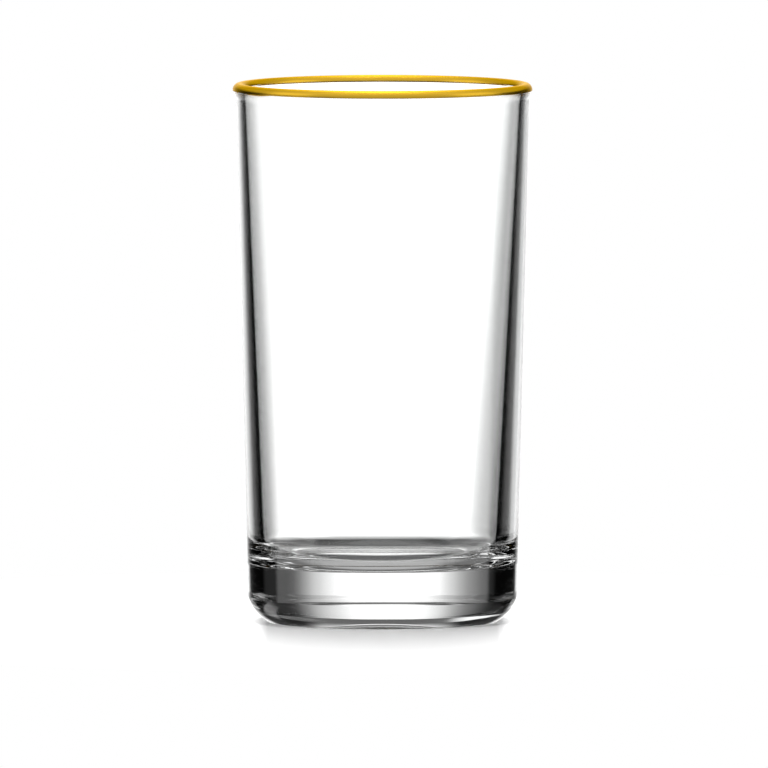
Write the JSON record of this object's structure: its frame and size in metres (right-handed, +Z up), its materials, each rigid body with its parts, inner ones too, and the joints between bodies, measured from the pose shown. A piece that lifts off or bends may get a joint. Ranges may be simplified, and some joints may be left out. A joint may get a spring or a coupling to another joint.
{
  "type": "highball glass",
  "caption": "Tall tapered drinking tumbler of clear pressed glass with a thick heavy base, a hollow foot and a gold band fired onto the rim.",
  "frame": {"origin": "on the table, under the middle of the foot ring", "axes": "+Z up along the axis of revolution, towards the lip"},
  "size_m": [0.0704, 0.0704, 0.1265],
  "materials": {
    "clear_glass": "polished, clear and colourless",
    "fired_gold": "bright burnished gold"
  },
  "bodies": {
    "root": {"glass_body": "clear_glass", "gold_rim": "fired_gold"}
  },
  "joints": []
}
